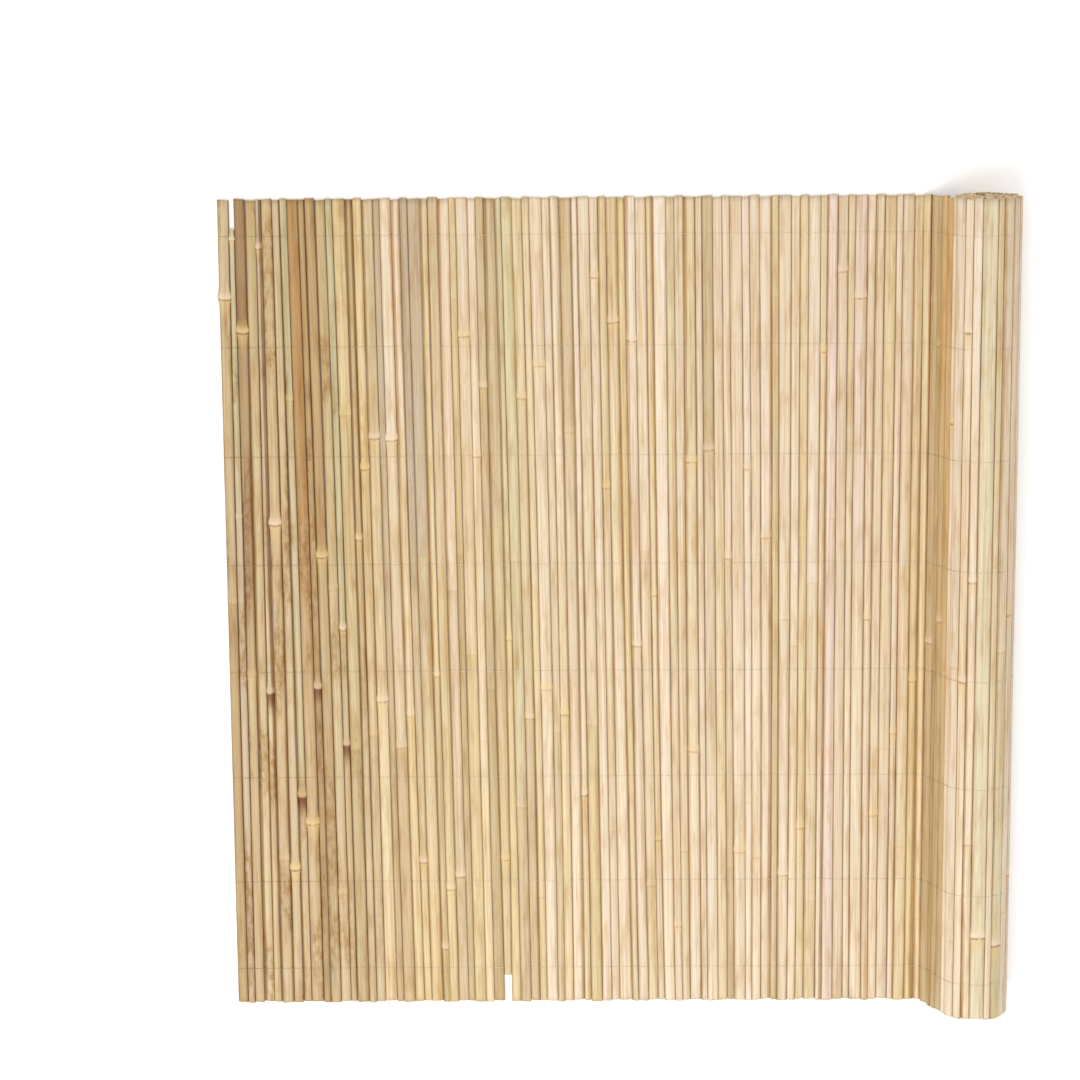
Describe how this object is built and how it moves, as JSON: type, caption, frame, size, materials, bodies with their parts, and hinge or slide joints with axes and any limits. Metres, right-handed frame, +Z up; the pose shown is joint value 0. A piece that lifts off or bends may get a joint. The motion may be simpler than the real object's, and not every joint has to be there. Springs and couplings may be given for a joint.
{
  "type": "split bamboo screening",
  "caption": "Split bamboo screening lying half unrolled: wire-bound split slats, flat on the pith side and rounded on the skin side, in a flat sheet that rises into a roll at one end.",
  "frame": {"origin": "bottom centre of the bounding box, on the ground it lies on", "axes": "+X along the sheet from the free edge to the roll, +Y along the slats to their upper ends, +Z up, the skin side of the flat run"},
  "size_m": [0.9544, 1.0028, 0.084],
  "materials": {
    "split_bamboo": "dry, satin skin, matt pith side",
    "binding_wire": "dull galvanised"
  },
  "bodies": {
    "root": {"back_wire_1": "binding_wire", "back_wire_2": "binding_wire", "back_wire_3": "binding_wire", "back_wire_4": "binding_wire", "back_wire_5": "binding_wire", "back_wire_6": "binding_wire", "back_wire_7": "binding_wire", "back_wire_8": "binding_wire", "front_wire_1": "binding_wire", "front_wire_2": "binding_wire", "front_wire_3": "binding_wire", "front_wire_4": "binding_wire", "front_wire_5": "binding_wire", "front_wire_6": "binding_wire", "front_wire_7": "binding_wire", "front_wire_8": "binding_wire", "split_culm_01": "split_bamboo", "split_culm_02": "split_bamboo", "split_culm_03": "split_bamboo", "split_culm_04": "split_bamboo", "split_culm_05": "split_bamboo", "split_culm_06": "split_bamboo", "split_culm_07": "split_bamboo", "split_culm_08": "split_bamboo", "split_culm_09": "split_bamboo", "split_culm_10": "split_bamboo", "split_culm_11": "split_bamboo", "split_culm_12": "split_bamboo", "split_culm_13": "split_bamboo", "split_culm_14": "split_bamboo", "split_culm_15": "split_bamboo", "split_culm_16": "split_bamboo", "split_culm_17": "split_bamboo", "split_culm_18": "split_bamboo", "split_culm_19": "split_bamboo", "split_culm_20": "split_bamboo", "split_culm_21": "split_bamboo", "split_culm_22": "split_bamboo", "split_culm_23": "split_bamboo", "split_culm_24": "split_bamboo", "split_culm_25": "split_bamboo", "split_culm_26": "split_bamboo", "split_culm_27": "split_bamboo", "split_culm_28": "split_bamboo", "split_culm_29": "split_bamboo", "split_culm_30": "split_bamboo", "split_culm_31": "split_bamboo"}
  },
  "joints": []
}
